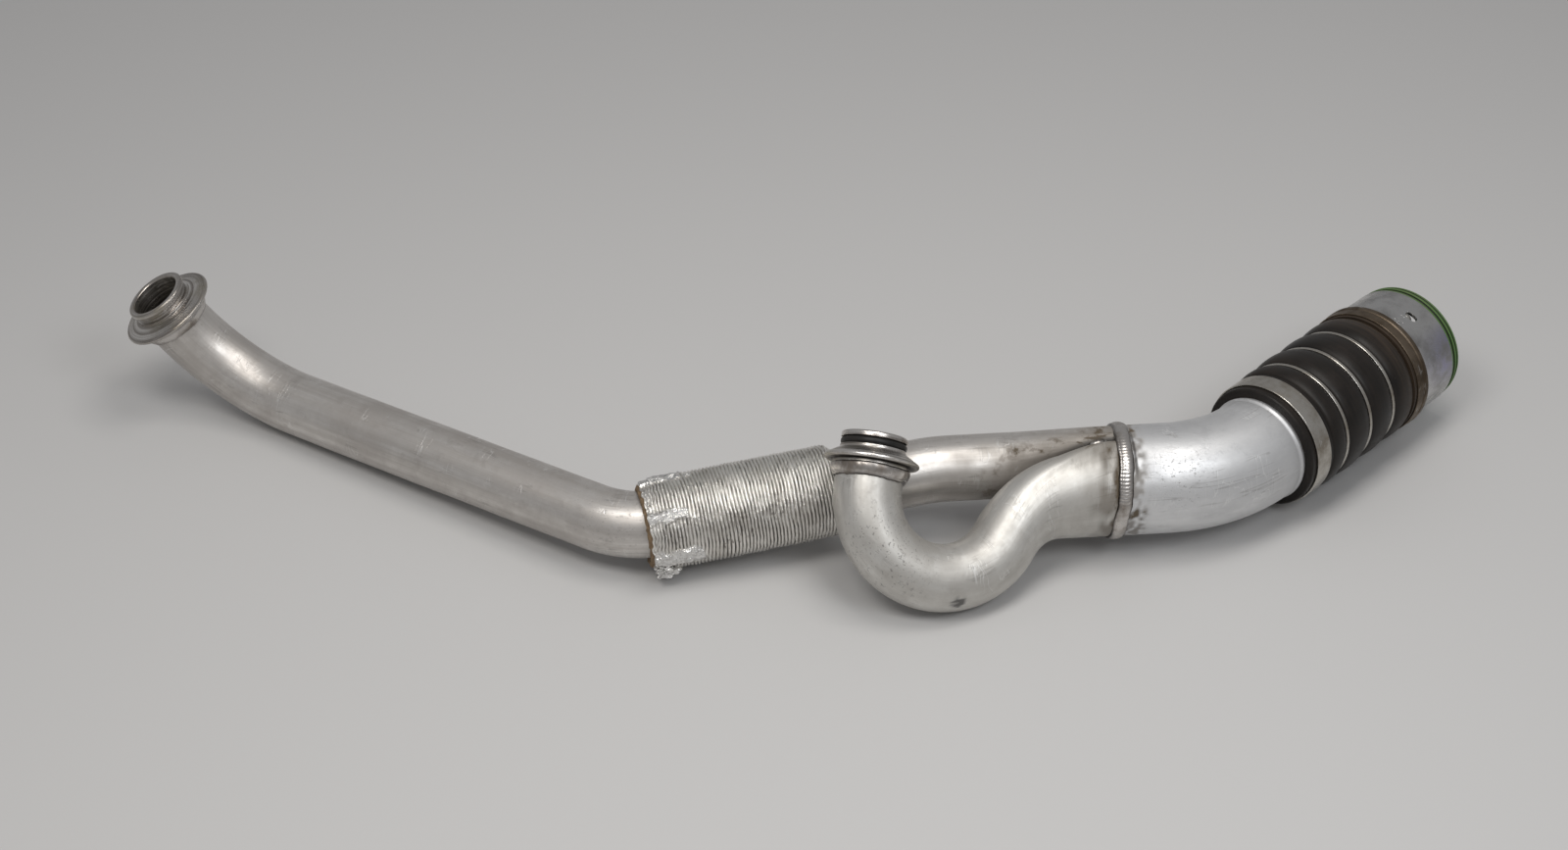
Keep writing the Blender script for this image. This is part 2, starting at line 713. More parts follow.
def jacket():
    """Pleated foil with crushed tabs and a torn hem, and a plain skin inside."""
    angles = ring_angles(JACKET_POINTS)
    heights = np.arange(0, SHIELD_LENGTH + 0.01, RIB_PITCH / SAMPLES_PER_RIB)
    up = heights[:, None]
    grid = np.stack(np.broadcast_arrays(BARREL * np.cos(angles), BARREL * np.sin(angles), up), axis=-1)
    slow, fine = lumps(grid, 26, 4.4), lumps(grid, 4.2, 7.7)
    crushed = tab_mask(up, np.degrees(angles)[None, :], lumps(grid, 6, 3.1))
    phase = 2 * math.pi * (up + 1.1 * slow + 0.27 * fine) / RIB_PITCH
    pleat = 1 - 2 * np.cos(phase / 2) ** 6
    rib = RIB_DEPTH * (1 + 0.6 * fine) * pleat
    on_barrel = ease(up, 9, 15) * (1 - 0.5 * ease(up, 113, 121))
    creases = 1 - 2.4 * np.abs(lumps(grid, 4.6, 1.9))
    radii = shield_profile(up) + on_barrel * rib * (1 - 0.8 * crushed)
    radii = radii + 0.3 * slow * on_barrel + crushed * (1.1 * creases + 0.3)
    inner_up = up[::-SAMPLES_PER_RIB]
    inner_shape = (len(inner_up), JACKET_POINTS)
    inner = np.broadcast_to(shield_profile(inner_up) - SHIELD_WALL - FELT_GAP, inner_shape)
    hem = 1.3 * lumps(grid[-1:], 3.4, 6.2) - 0.9
    torn = up + hem * ease(up, 108, SHIELD_LENGTH)
    all_heights = np.concatenate([torn, inner_up + np.minimum(hem, 0)])
    rings, places = spin(np.concatenate([radii, inner]), all_heights, shield_place, JACKET_POINTS)
    piece = ring_skin("heat_shield_finish", rings, places, ["heat_shield_sleeve"],
                      FOIL_SHARP)
    valleys = np.clip(-pleat, 0, 1) * on_barrel * (1 - crushed) * (0.8 + 0.6 * fine + 0.5 * slow)
    for layer, values in (("crushed", crushed), ("soil", valleys)):
        paint(piece, layer, np.concatenate([values, np.zeros(inner_shape)]))
    return piece


shield = jacket()

# %% [markdown]
# ## The felt's edge
# Brown felt lines the jacket and peeps out at its free end. A hair system would give the fluff, but
# the export takes only meshes. So a narrow ring is spun and frayed: noise pushes the points near
# its edge outwards and along, and the liner below it keeps its plain form.

# %% Build the felt's frayed edge
FELT_OUTLINE = [(19.4, 118), (23.3, 118), (23.6, 121.2), (22.6, 122.6), (20.6, 122.9), (19.4, 122)]
FRAYED_FROM = 120


def felt_edge():
    points = rounded(FELT_OUTLINE, 0.6)
    radii, heights = points[:, :1], points[:, 1:]
    smooth_places = spin(radii, heights, shield_place)[1]
    tufts = 0.5 * lumps(smooth_places, 2.2, 8.3) * (heights > FRAYED_FROM)
    rings, places = spin(radii + tufts, heights + 1.6 * tufts, shield_place)
    return ring_skin("felt_edge", rings, places, [], FOIL_SHARP)


felt_rim = felt_edge()

# %% [markdown]
# ## A lump of torn foil
# Some foil tore off at the jacket's lower edge and was squeezed into a lump. A cloth simulation can
# crumple a sheet, but takes long for so small a piece. A ball with folded noise and a low angle for
# sharp edges gives the same broken facets.

# %% Build the lump
LUMP_ANGLE = 136
LUMP_HALF = (7.5, 6, 4.5)
LUMP_FROM_END = 7
LUMP_OUT = 26
FACET_SHARP = 8


def outwards(place, degrees):
    """The direction away from a place's axis at an angle, and the one across it."""
    _, axis, side = place
    angle = math.radians(degrees)
    out = math.cos(angle) * side + math.sin(angle) * np.cross(axis, side)
    return out, np.cross(axis, out)


def squeezed(spot):
    folds = 1.1 + 0.7 * noise.noise(spot * 1.6) - 1.1 * abs(noise.noise(spot * 3.3))
    return np.array(spot) * LUMP_HALF * folds


shield_origin, shield_axis, _ = shield_place
lump_out, lump_across = outwards(shield_place, LUMP_ANGLE)
lump_centre = shield_origin + (SHIELD_LENGTH - LUMP_FROM_END) * shield_axis + LUMP_OUT * lump_out
foil_lump = ball_piece("foil_lump", lump_centre, (shield_axis, lump_across, lump_out), squeezed,
                       [], FACET_SHARP)
paint(foil_lump, "crushed", np.ones(len(foil_lump.data.vertices)))

# %% [markdown]
# ## The bellows hose
# The hose is moulded rubber with full, rounded folds and a steel ring in each valley, so that
# pressure can't balloon it. Wave or lattice modifiers could bulge a cylinder, but the folds differ
# in height. The outline is a row of arcs, spun once. Road dust is painted near the connector.

# %% The hose
CREST = 39.5
FIRST_CREST = 38.9
VALLEY = 36.3
FOLD_ROOT = 36.6
HOSE_WALL = 3.2
RING_PLACES = (38, 61, 84)
RING_SEAT = 1.5
HALF_PITCH = 11.5
FOLD_STEPS = 25
FIRST_FOLD, LAST_FOLD = 24.2, 104
COLLECTOR_CUFF = [(31.6, HOSE_START), (36.4, HOSE_START), (37, 4.4), (37, 24)]
CONNECTOR_CUFF = [(38.8, 104.2), (38.8, 117), (33.6, 117), (33.6, 100.8)]
CUFF_BORE_END = (31.6, 27.2)


def fold(first, last, crest):
    """A full, rounded fold between two heights."""
    share = np.linspace(-1, 1, FOLD_STEPS)
    radii = FOLD_ROOT + (crest - FOLD_ROOT) * (1 - np.abs(share) ** 2.3) ** 0.55
    heights = first + (last - first) * (share + 1) / 2
    return np.c_[radii, heights].tolist()


def hose_outline():
    """Outside from the elbow's cuff to the connector's, then back along the bore."""
    outline = list(COLLECTOR_CUFF)
    first = FIRST_FOLD
    for middle, crest in zip(RING_PLACES, (FIRST_CREST, CREST, CREST)):
        outline += fold(first, middle - RING_SEAT, crest)
        outline += [(VALLEY, middle - RING_SEAT), (VALLEY, middle + RING_SEAT)]
        first = middle + RING_SEAT
    outline += fold(first, LAST_FOLD, CREST) + CONNECTOR_CUFF
    inner_valley = VALLEY - HOSE_WALL
    for middle in reversed(RING_PLACES):
        outline += [(inner_valley, middle + RING_SEAT), (inner_valley, middle - RING_SEAT)]
        if middle != RING_PLACES[0]:
            outline.append((CREST - HOSE_WALL, middle - HALF_PITCH))
    return np.array(outline + [CUFF_BORE_END])


hose_points = hose_outline()
hose = turned("bellows_hose_finish", hose_points, hose_place, ["bellows_hose"])
paint_outline(hose, "dust", ease(hose_points[:, 1], 86, 110) * 0.7 + 0.08)

# %% [markdown]
# ## Rings and bands
# Three bright rings lie in the hose's valleys, and two crimped bands hold its cuffs. Each could be
# an extruded circle. As they are plain bars bent round, four rounded corners spun about the hose's
# axis are all that they need. The band at the connector has a groove from the crimping tool.

# %% Build rings and bands
RING_HALF = 1.2
RING_RADII = (36.4, 37.7)
BAND_RADII, BAND_HEIGHTS = (37.05, 38.25), (8, 20.5)
LIP_OUTLINE = [
    (38.85, 106.5), (39.7, 106.5), (39.7, 112.4), (39.35, 112.9), (40.05, 113.4), (40.05, 116.5),
    (38.85, 116.5),
]


def band_outline(radii, heights, edge):
    (inner, outer), (low, high) = radii, heights
    return rounded([(inner, low), (outer, low), (outer, high), (inner, high)], edge)


hose_rings = []
for number, middle in enumerate(RING_PLACES, start=1):
    ring_outline = band_outline(RING_RADII, (middle - RING_HALF, middle + RING_HALF), 0.6)
    hose_rings.append(turned(f"hose_ring_{number}_finish", ring_outline, hose_place,
                             [f"hose_ring_{number}"]))
collector_band = turned("collector_band_finish", band_outline(BAND_RADII, BAND_HEIGHTS, 0.5),
                        hose_place, ["collector_crimp_band"])
connector_band = turned("connector_band_finish", rounded(LIP_OUTLINE, 0.4), hose_place,
                        ["connector_crimp_band"])

# %% [markdown]
# ## The quick connector
# The connector is a drawn steel sleeve with a step in it. A wire clip reaches through two windows
# and holds the cooler's spigot. A window crosses the curved wall, so a Boolean modifier with a bar
# as the cutter makes it, and the unrolled places are renewed on the new mesh.

# %% Spin the connector
CONNECTOR_OUTLINE = [
    (31.5, 100), (33.5, 100), (33.5, 117.1), (38, 117.1), (38, 145.5), (36, 145.5), (36, 119.1),
    (31.5, 119.1),
]
connector = turned("connector_finish", rounded(CONNECTOR_OUTLINE, 0.45), hose_place,
                   ["connector_sleeve"])

# %% Cut its clip windows
WINDOW_AT = 131
WINDOW_TURN = 109
WINDOW_HALF = (4, 2.5)
BAR_HALF = 50


def stadium(half_long, half_short, count=24):
    """A slot's outline: two half circles joined by straight sides."""
    middle = half_long - half_short
    turns = np.linspace(-math.pi / 2, math.pi / 2, count // 2)
    right = np.c_[middle + half_short * np.cos(turns), half_short * np.sin(turns)]
    return np.concatenate([right, -right])


def window_bar(place):
    """A bar with a slot's section that runs through both walls."""
    origin, axis, _ = place
    out, across = outwards(place, WINDOW_TURN)
    section = stadium(*WINDOW_HALF)
    flat = origin + axis * WINDOW_AT + section[:, :1] * across + section[:, 1:] * axis
    count = len(section)
    faces = [[i, (i + 1) % count, (i + 1) % count + count, i + count] for i in range(count)]
    faces += [list(range(count))[::-1], list(range(count, 2 * count))]
    ends = np.concatenate([flat - BAR_HALF * out, flat + BAR_HALF * out])
    return add_object("window_bar", new_mesh("window_bar", ends, faces))


def cut_windows(piece, place):
    origin, axis, side = place
    bar = window_bar(place)
    boolean = piece.modifiers.new("windows", "BOOLEAN")
    boolean.operation = "DIFFERENCE"
    boolean.object = bar
    bpy.context.view_layer.update()
    seen = piece.evaluated_get(bpy.context.evaluated_depsgraph_get())
    mesh = bpy.data.meshes.new_from_object(seen)
    piece.modifiers.clear()
    bpy.data.objects.remove(bar)
    mesh.set_sharp_from_angle(angle=math.radians(SHARP))
    spots = points_of(mesh) - origin * MM
    mark_places(mesh, np.c_[spots @ side, spots @ np.cross(axis, side), spots @ axis])
    piece.data = mesh
    print("connector with windows:", len(mesh.polygons), "faces")


cut_windows(connector, hose_place)

# %% [markdown]
# ## The clip's tongue and a film of oil
# The sprung end of the clip shows as a bright tongue in the upper window. It is bent strip, so an
# open sheet with a Solidify modifier is the plain way. An oily film shimmers on the connector's
# flank, and its place is painted by distance like the stains on the elbow.

# %% Build the tongue and paint the film
TONGUE_WIDTH = 2.8
TONGUE_FROM, TONGUE_TO = -4.6, 1.6
TONGUE_THICK = 0.5
TONGUE_OUT = 36.6
OILY_FLANK = (216, 83, 14)


def clip_tongue(place):
    """A strip that leans into the window from one of its ends."""
    origin, axis, _ = place
    out, across = outwards(place, WINDOW_TURN)
    along = np.linspace(TONGUE_FROM, TONGUE_TO, 14)[:, None]
    aside = np.linspace(-TONGUE_WIDTH / 2, TONGUE_WIDTH / 2, 8)[None, :]
    share = (along - TONGUE_FROM) / (TONGUE_TO - TONGUE_FROM)
    height = TONGUE_OUT + 0.9 * np.sin(math.pi * share) - 2.6 * share ** 2 - 0.12 * aside ** 2
    grid = origin + (WINDOW_AT + aside)[..., None] * axis + along[..., None] * across
    grid = grid + height[..., None] * out
    rows, columns = grid.shape[:2]
    index = np.arange(rows * columns).reshape(rows, columns)
    quads = np.stack([index[:-1, :-1], index[1:, :-1], index[1:, 1:], index[:-1, 1:]], axis=-1)
    mesh = new_mesh("clip_tongue", grid, quads.reshape(-1, 4).tolist())
    shade_smooth(mesh)
    mark_places(mesh, grid * MM)
    strip = add_piece("clip_tongue", mesh, [])
    strip.modifiers.new("thickness", "SOLIDIFY").thickness = TONGUE_THICK * MM
    return strip


tongue = clip_tongue(hose_place)
paint(connector, "film", around(points_of(connector.data) / MM, OILY_FLANK, 25))

# %% [markdown]
# ## The green seal
# A green seal sits in the connector's mouth, with two grooves round its edge. The grooves are part
# of the outline, so they show from the side too, and dark dirt is painted into them.

# %% Build the seal
GASKET_OUTLINE = [
    (33, 137.5), (35.9, 137.5), (35.9, 145.55), (37.6, 145.55), (37.6, 147), (36.6, 147.2),
    (36.6, 148.6), (37.6, 148.8), (37.6, 150.2), (36.6, 150.4), (36.6, 151.6), (37.4, 151.8),
    (36.9, 153.2), (35.6, 154), (33, 154),
]
DIRTY_GROOVES = ((0, 37.3), (146, 151.7))
gasket_points = rounded(GASKET_OUTLINE, 0.4)
gasket = turned("gasket_finish", gasket_points, hose_place, ["connector_gasket"])
paint_outline(gasket, "soil", within(gasket_points, *DIRTY_GROOVES))

# %% [markdown]
# ## Finishes
# The finishes share a few effects, each a node group that is built once: stretched grain, cloudy
# stains, specks and scratches. A group only puts out masks. The Principled shader stays in each
# material and decides what a mask does to colour, roughness and relief. Nodes can be wired by hand
# in the Shader editor. These helpers write the same wiring as short sums.

# %% Small helpers for node trees
MIX_SHARE, MIX_FIRST, MIX_SECOND, MIX_RESULT = 0, 6, 7, 2


def feed(tree, socket, value):
    """Link another node's output to a socket, or set a plain value on it."""
    if isinstance(value, bpy.types.NodeSocket):
        tree.links.new(value, socket)
    else:
        socket.default_value = value


def add(tree, kind, values=None, **settings):
    node = tree.nodes.new("ShaderNode" + kind)
    for key, value in settings.items():
        setattr(node, key, value)
    for key, value in (values or {}).items():
        feed(tree, node.inputs[key], value)
    return node


def calc(tree, operation, first, second=0.0):
    return add(tree, "Math", {0: first, 1: second}, operation=operation).outputs[0]


def spread(tree, value, low, high, to_low=0.0, to_high=1.0):
    """Stretch a value from one range to another, softly and clamped."""
    ranges = {"From Min": low, "From Max": high, "To Min": to_low, "To Max": to_high}
    node = add(tree, "MapRange", {"Value": value, **ranges}, interpolation_type="SMOOTHSTEP")
    return node.outputs["Result"]


def tint(tree, share, first, second):
    """Mix two colours by a mask."""
    values = {MIX_SHARE: share, MIX_FIRST: first, MIX_SECOND: second}
    return add(tree, "Mix", values, data_type="RGBA").outputs[MIX_RESULT]


def layers(tree, colour, *coats):
    """Lay colours over each other; each coat is a mask, its share and a colour."""
    for mask, share, over in coats:
        cover = mask if share == 1 else calc(tree, "MULTIPLY", mask, share)
        colour = tint(tree, cover, colour, over)
    return colour


def summed(tree, start, *parts):
    """Add masks to a value, each by its own share."""
    for mask, share in parts:
        start = calc(tree, "ADD", start, calc(tree, "MULTIPLY", mask, share))
    return start


# %% [markdown]
# ## Node groups
# A group has named inputs on its own interface, so one effect serves many materials with other
# values. Every group here takes a place and gives one mask from 0 to 1.

# %% Make and use a group
def new_group(name, numbers):
    """A group with a place, named numbers and one mask, and the sockets inside it."""
    group = bpy.data.node_groups.new(name, "ShaderNodeTree")
    group.interface.new_socket("Place", in_out="INPUT", socket_type="NodeSocketVector")
    for key, value in numbers.items():
        kind = "NodeSocketVector" if isinstance(value, tuple) else "NodeSocketFloat"
        socket = group.interface.new_socket(key, in_out="INPUT", socket_type=kind)
        socket.default_value = value
    group.interface.new_socket("Mask", in_out="OUTPUT", socket_type="NodeSocketFloat")
    source = group.nodes.new("NodeGroupInput").outputs
    target = group.nodes.new("NodeGroupOutput").inputs["Mask"]
    return group, source, target


def use(tree, group, place, **numbers):
    """Place a group in a material and give its mask."""
    node = tree.nodes.new("ShaderNodeGroup")
    node.node_tree = group
    tree.links.new(place, node.inputs["Place"])
    for key, value in numbers.items():
        node.inputs[key].default_value = value
    return node.outputs["Mask"]


# %% [markdown]
# ### Stretched grain
# Drawn, brushed and turned metal all show fine lines in one direction. The Wave texture repeats too
# evenly for that. Noise whose place is scaled much more across the lines than along them does not.

# %% The grain group
def make_grain():
    """Noise that is stretched by different scales along and round a piece."""
    group, source, target = new_group("stretched grain", {"Scale": (1.0, 1.0, 1.0), "Contrast": 1.5})
    scaled = add(group, "VectorMath", {0: source["Place"], 1: source["Scale"]}, operation="MULTIPLY")
    tex = add(group, "TexNoise", {
        "Vector": scaled.outputs[0], "Scale": 1.0, "Detail": 4.0, "Roughness": 0.62})
    centred = calc(group, "SUBTRACT", tex.outputs["Fac"], 0.5)
    lifted = calc(group, "ADD", calc(group, "MULTIPLY", centred, source["Contrast"]), 0.5)
    group.links.new(add(group, "Clamp", {"Value": lifted}).outputs[0], target)
    return group


grain = make_grain()
print("node group:", grain.name)

# %% [markdown]
# ### Cloudy stains
# Oxide, grease and dust lie in patches with soft edges. Detailed noise that is cut at a level gives
# them: the level sets how much is covered, and a second number how soft the edge is.

# %% The stains group
def make_stains():
    """Cloudy patches; cover sets how much of the surface they take."""
    group, source, target = new_group("cloudy stains", {"Scale": 30.0, "Cover": 0.4, "Softness": 0.15})
    tex = add(group, "TexNoise", {
        "Vector": source["Place"], "Scale": source["Scale"], "Detail": 7.0, "Roughness": 0.66})
    level = calc(group, "SUBTRACT", 1.0, source["Cover"])
    low = calc(group, "SUBTRACT", level, source["Softness"])
    high = calc(group, "ADD", level, source["Softness"])
    group.links.new(spread(group, tex.outputs["Fac"], low, high), target)
    return group


stains = make_stains()
print("node group:", stains.name)

# %% [markdown]
# ### Specks
# Pits in the weld and crumbs on rubber are small dots of uneven size. A Voronoi texture has a random
# colour for each cell, which chooses the cells that hold a dot and how large it is.

# %% The specks group
def make_specks():
    """Small dots of uneven size; share sets how many cells hold one."""
    group, source, target = new_group("specks", {"Scale": 300.0, "Share": 0.2})
    bent = add(group, "TexNoise", {"Vector": source["Place"], "Scale": 900.0, "Detail": 2.0})
    nudge = add(group, "VectorMath", {0: bent.outputs["Color"], 1: (0.0012, 0.0012, 0.0012)},
                operation="MULTIPLY")
    moved = add(group, "VectorMath", {0: source["Place"], 1: nudge.outputs[0]}, operation="ADD")
    cells = add(group, "TexVoronoi", {"Vector": moved.outputs[0], "Scale": source["Scale"]})
    draw = add(group, "SeparateColor", {"Color": cells.outputs["Color"]}).outputs[0]
    chosen = calc(group, "SUBTRACT", draw, calc(group, "SUBTRACT", 1.0, source["Share"]))
    radius = calc(group, "MULTIPLY", chosen, 1.4)
    inside = calc(group, "SUBTRACT", radius, cells.outputs["Distance"])
    group.links.new(spread(group, inside, 0.0, 0.08), target)
    return group


specks = make_specks()
print("node group:", specks.name)

# %% [markdown]
# ### Scratches
# A scratch is a thin line that starts and stops. Noise crosses its middle value along such lines,
# so a narrow band about that value is a net of them, and a second noise breaks the net up.

# %% The scratches group
def make_scratches():
    """Thin lines where a stretched noise crosses its middle, broken up by a second noise."""
    group, source, target = new_group("scratches", {"Scale": (40.0, 40.0, 400.0), "Share": 0.4})
    scaled = add(group, "VectorMath", {0: source["Place"], 1: source["Scale"]}, operation="MULTIPLY")
    tex = add(group, "TexNoise", {
        "Vector": scaled.outputs[0], "Scale": 1.0, "Detail": 1.0, "Distortion": 0.4})
    level = calc(group, "ABSOLUTE", calc(group, "SUBTRACT", tex.outputs["Fac"], 0.5))
    line = spread(group, level, 0.004, 0.028, 1.0, 0.0)
    breaks = add(group, "TexNoise", {"Vector": source["Place"], "Scale": 55.0, "Detail": 3.0})
    low = calc(group, "SUBTRACT", 1.0, source["Share"])
    kept = spread(group, breaks.outputs["Fac"], low, calc(group, "ADD", low, 0.1))
    group.links.new(calc(group, "MULTIPLY", line, kept), target)
    return group


scratches = make_scratches()
print("node group:", scratches.name)

# %% [markdown]
# ## A material and what it reads
# Each finish starts from a Principled shader and reads the unrolled place and the painted numbers
# through Attribute nodes. A piece without such a number reads 0 there, so the same material serves
# clean and dirty pieces.

# %% Start, read and give a material
def new_material(name, roughness=0.5, metallic=0.0):
    """A material with the shader's plain values set, its tree and the shader's inputs."""
    material = bpy.data.materials.new(name)
    material.use_nodes = True
    tree = material.node_tree
    inputs = tree.nodes["Principled BSDF"].inputs
    inputs["Roughness"].default_value = roughness
    inputs["Metallic"].default_value = metallic
    return material, tree, inputs


def unrolled(tree):
    return add(tree, "Attribute", attribute_name="unrolled").outputs["Vector"]


def painted(tree, name):
    return add(tree, "Attribute", attribute_name=name).outputs["Fac"]


def relief(tree, inputs, height, depth, strength):
    bump = add(tree, "Bump", {"Height": height, "Strength": strength, "Distance": depth})
    tree.links.new(bump.outputs[0], inputs["Normal"])


def dress(material, *pieces):
    for piece in pieces:
        piece.data.materials.clear()
        piece.data.materials.append(material)
    print(material.name, "on", [piece.name for piece in pieces])


# %% [markdown]
# ## Bare aluminium
# All three tubes are bare, used aluminium, but not alike: the long runner is dull with drawn
# lines, the short one is satin and specked, and the elbow is smooth and a little blue. One
# function makes all three, so that the same nodes serve with other numbers. Oxide, dirt and burnt
# spots aren't metal, so they lower Metallic too.

# %% The tubes' aluminium
GRIME = (0.095, 0.072, 0.047, 1)
SPECK = (0.03, 0.027, 0.025, 1)
WORN = (0.22, 0.205, 0.19, 1)
SCRATCHED = (0.85, 0.85, 0.84, 1)


def bare_aluminium(name, bright, dull, haze, roughness, drawn, oxide):
    material, tree, inputs = new_material(name)
    place = unrolled(tree)
    lines = use(tree, grain, place, Scale=drawn, Contrast=2.6)
    mottle = use(tree, grain, place, Scale=(150.0, 150.0, 90.0), Contrast=2.6)
    clouds = use(tree, stains, place, Scale=24.0, Cover=0.5, Softness=0.12)
    patches = use(tree, stains, place, Scale=85.0, Cover=0.4, Softness=0.07)
    dots = use(tree, stains, place, Scale=420.0, Cover=0.27, Softness=0.025)
    holes = use(tree, stains, place, Scale=560.0, Cover=0.40, Softness=0.04)
    cuts = use(tree, scratches, place, Scale=(60.0, 60.0, 300.0), Share=0.47)
    runs = use(tree, scratches, place, Scale=(240.0, 240.0, 20.0), Share=0.5)
    pits = calc(tree, "MULTIPLY", holes, painted(tree, "pitted"))
    dark = calc(tree, "MAXIMUM", calc(tree, "MAXIMUM", dots, pits), painted(tree, "char"))
    dirt = calc(tree, "MULTIPLY", painted(tree, "soil"), summed(tree, 0.65, (patches, 0.45)))
    colour = layers(
        tree, tint(tree, lines, bright, dull),
        (mottle, 0.3, haze), (clouds, 0.5, haze), (patches, 0.35, haze),
        (runs, 0.32, WORN), (cuts, 0.4, SCRATCHED), (dirt, 1, GRIME), (dark, 0.85, SPECK),
    )
    feed(tree, inputs["Base Color"], colour)
    rough = summed(tree, roughness, (clouds, 0.1), (lines, 0.1), (dirt, 0.25))
    feed(tree, inputs["Roughness"], rough)
    covered = calc(tree, "MAXIMUM", dark, calc(tree, "MULTIPLY", dirt, 0.8))
    feed(tree, inputs["Metallic"], calc(tree, "SUBTRACT", 1.0 - oxide, covered))
    marks = calc(tree, "MAXIMUM", cuts, dark)
    height = summed(tree, 0.0, (lines, 0.35), (patches, 0.3), (marks, -0.6))
    relief(tree, inputs, height, 0.00018, 0.6)
    return material


# %% Dress the three tubes
dull_tube = bare_aluminium(
    "dull drawn aluminium", (0.75, 0.725, 0.695, 1), (0.54, 0.515, 0.485, 1), (0.41, 0.38, 0.355, 1),
    roughness=0.33, drawn=(230.0, 230.0, 6.0), oxide=0.15)
satin_tube = bare_aluminium(
    "satin aluminium", (0.71, 0.70, 0.67, 1), (0.58, 0.565, 0.535, 1), (0.42, 0.40, 0.37, 1),
    roughness=0.42, drawn=(170.0, 170.0, 20.0), oxide=0.12)
elbow_skin = bare_aluminium(
    "smooth elbow aluminium", (0.77, 0.772, 0.775, 1), (0.67, 0.672, 0.675, 1), (0.52, 0.522, 0.53, 1),
    roughness=0.42, drawn=(110.0, 110.0, 26.0), oxide=0.15)
dress(dull_tube, rear_tube)
dress(satin_tube, front_tube)
dress(elbow_skin, elbow)

# %% [markdown]
# ## Turned aluminium
# The lathe leaves fine rings on a spigot, brightest where the tool was sharp, and old grease dulls
# them. The lines follow the third unrolled number, which runs along the outline, so they stay
# rings on the cone and on the flange's face alike. Black dirt sits under the flange.

# %% Dress the spigots
def turned_aluminium():
    material, tree, inputs = new_material("turned aluminium", metallic=1.0)
    place = unrolled(tree)
    lines = use(tree, grain, place, Scale=(10.0, 10.0, 500.0), Contrast=4.4)
    faces = use(tree, grain, place, Scale=(900.0, 900.0, 900.0), Contrast=1.4)
    grease = use(tree, stains, place, Scale=48.0, Cover=0.42, Softness=0.14)
    cuts = use(tree, scratches, place, Scale=(60.0, 60.0, 700.0), Share=0.45)
    colour = layers(
        tree, (0.70, 0.675, 0.645, 1), (lines, 1, (0.25, 0.225, 0.205, 1)),
        (grease, 0.5, (0.22, 0.19, 0.11, 1)), (cuts, 0.6, (0.78, 0.77, 0.75, 1)),
        (painted(tree, "soil"), 1, (0.016, 0.013, 0.011, 1)),
    )
    feed(tree, inputs["Base Color"], colour)
    feed(tree, inputs["Roughness"], summed(tree, 0.24, (grease, 0.18), (faces, 0.08)))
    relief(tree, inputs, summed(tree, lines, (cuts, -0.6)), 0.00015, 0.7)
    return material


dress(turned_aluminium(), rear_spigot, front_spigot)

# %% [markdown]
# ## Weld metal
# A bead is cast metal with a smoky film, small pits and dark lines where it meets the tube. The
# form has the ripples already, so the finish adds only colour, a duller film and the pits.

# %% Dress the welds
def weld_metal():
    material, tree, inputs = new_material("weld aluminium", metallic=1.0)
    place = unrolled(tree)
    film = use(tree, stains, place, Scale=60.0, Cover=0.46, Softness=0.12)
    pits = use(tree, specks, place, Scale=520.0, Share=0.14)
    colour = layers(
        tree, (0.58, 0.555, 0.53, 1), (film, 1, (0.27, 0.235, 0.205, 1)),
        (pits, 1, (0.07, 0.055, 0.045, 1)), (painted(tree, "soil"), 1, (0.035, 0.027, 0.022, 1)),
    )
    feed(tree, inputs["Base Color"], colour)
    feed(tree, inputs["Roughness"], summed(tree, 0.27, (film, 0.2)))
    relief(tree, inputs, calc(tree, "MULTIPLY", pits, -1.0), 0.0002, 0.7)
    return material


dress(weld_metal(), collector_bead, rear_bead, front_bead, crotch_blob)

# %% [markdown]
# ## Foil
# The jacket's foil is bright on the ribs, dull in the valleys and glitters where it is crushed. The
# painted masks say where. Crushed foil breaks into small facets, which a coarse grain gives as a
# strong bump there alone.

# %% Dress the jacket and the lump
def foil():
    material, tree, inputs = new_material("embossed foil")
    place = unrolled(tree)
    creases = use(tree, grain, place, Scale=(520.0, 520.0, 520.0), Contrast=3.2)
    facets = use(tree, grain, place, Scale=(210.0, 210.0, 210.0), Contrast=3.2)
    film = use(tree, stains, place, Scale=40.0, Cover=0.45, Softness=0.15)
    cracks = use(tree, scratches, place, Scale=(90.0, 90.0, 380.0), Share=0.46)
    crushed, valley = painted(tree, "crushed"), painted(tree, "soil")
    colour = layers(
        tree, (0.86, 0.84, 0.80, 1), (film, 1, (0.66, 0.635, 0.59, 1)),
        (cracks, 0.7, (0.16, 0.14, 0.12, 1)), (valley, 1, (0.06, 0.05, 0.04, 1)),
        (crushed, 1, (0.88, 0.87, 0.85, 1)),
    )
    feed(tree, inputs["Base Color"], colour)
    feed(tree, inputs["Roughness"], summed(tree, 0.32, (crushed, -0.12)))
    feed(tree, inputs["Metallic"], summed(tree, 1.0, (valley, -0.5)))
    broken = calc(tree, "MULTIPLY", facets, crushed)
    relief(tree, inputs, summed(tree, 0.0, (creases, 0.5), (broken, 3.0)), 0.0009, 0.6)
    return material


dress(foil(), shield, foil_lump)

# %% [markdown]
# ## Felt
# The felt is brown fibre with no gloss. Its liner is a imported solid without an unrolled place, so
# this finish reads the object's own coordinates. Fine grain serves as fibres in colour and bump.

# %% Dress the liner and its edge
def felt():
    material, tree, inputs = new_material("felt liner", roughness=0.95)
    where = add(tree, "TexCoord").outputs["Object"]
    fibres = use(tree, grain, where, Scale=(900.0, 900.0, 900.0), Contrast=2.0)
    colour = tint(tree, fibres, (0.30, 0.21, 0.12, 1), (0.12, 0.08, 0.05, 1))
    feed(tree, inputs["Base Color"], colour)
    relief(tree, inputs, fibres, 0.0008, 0.8)
    return material


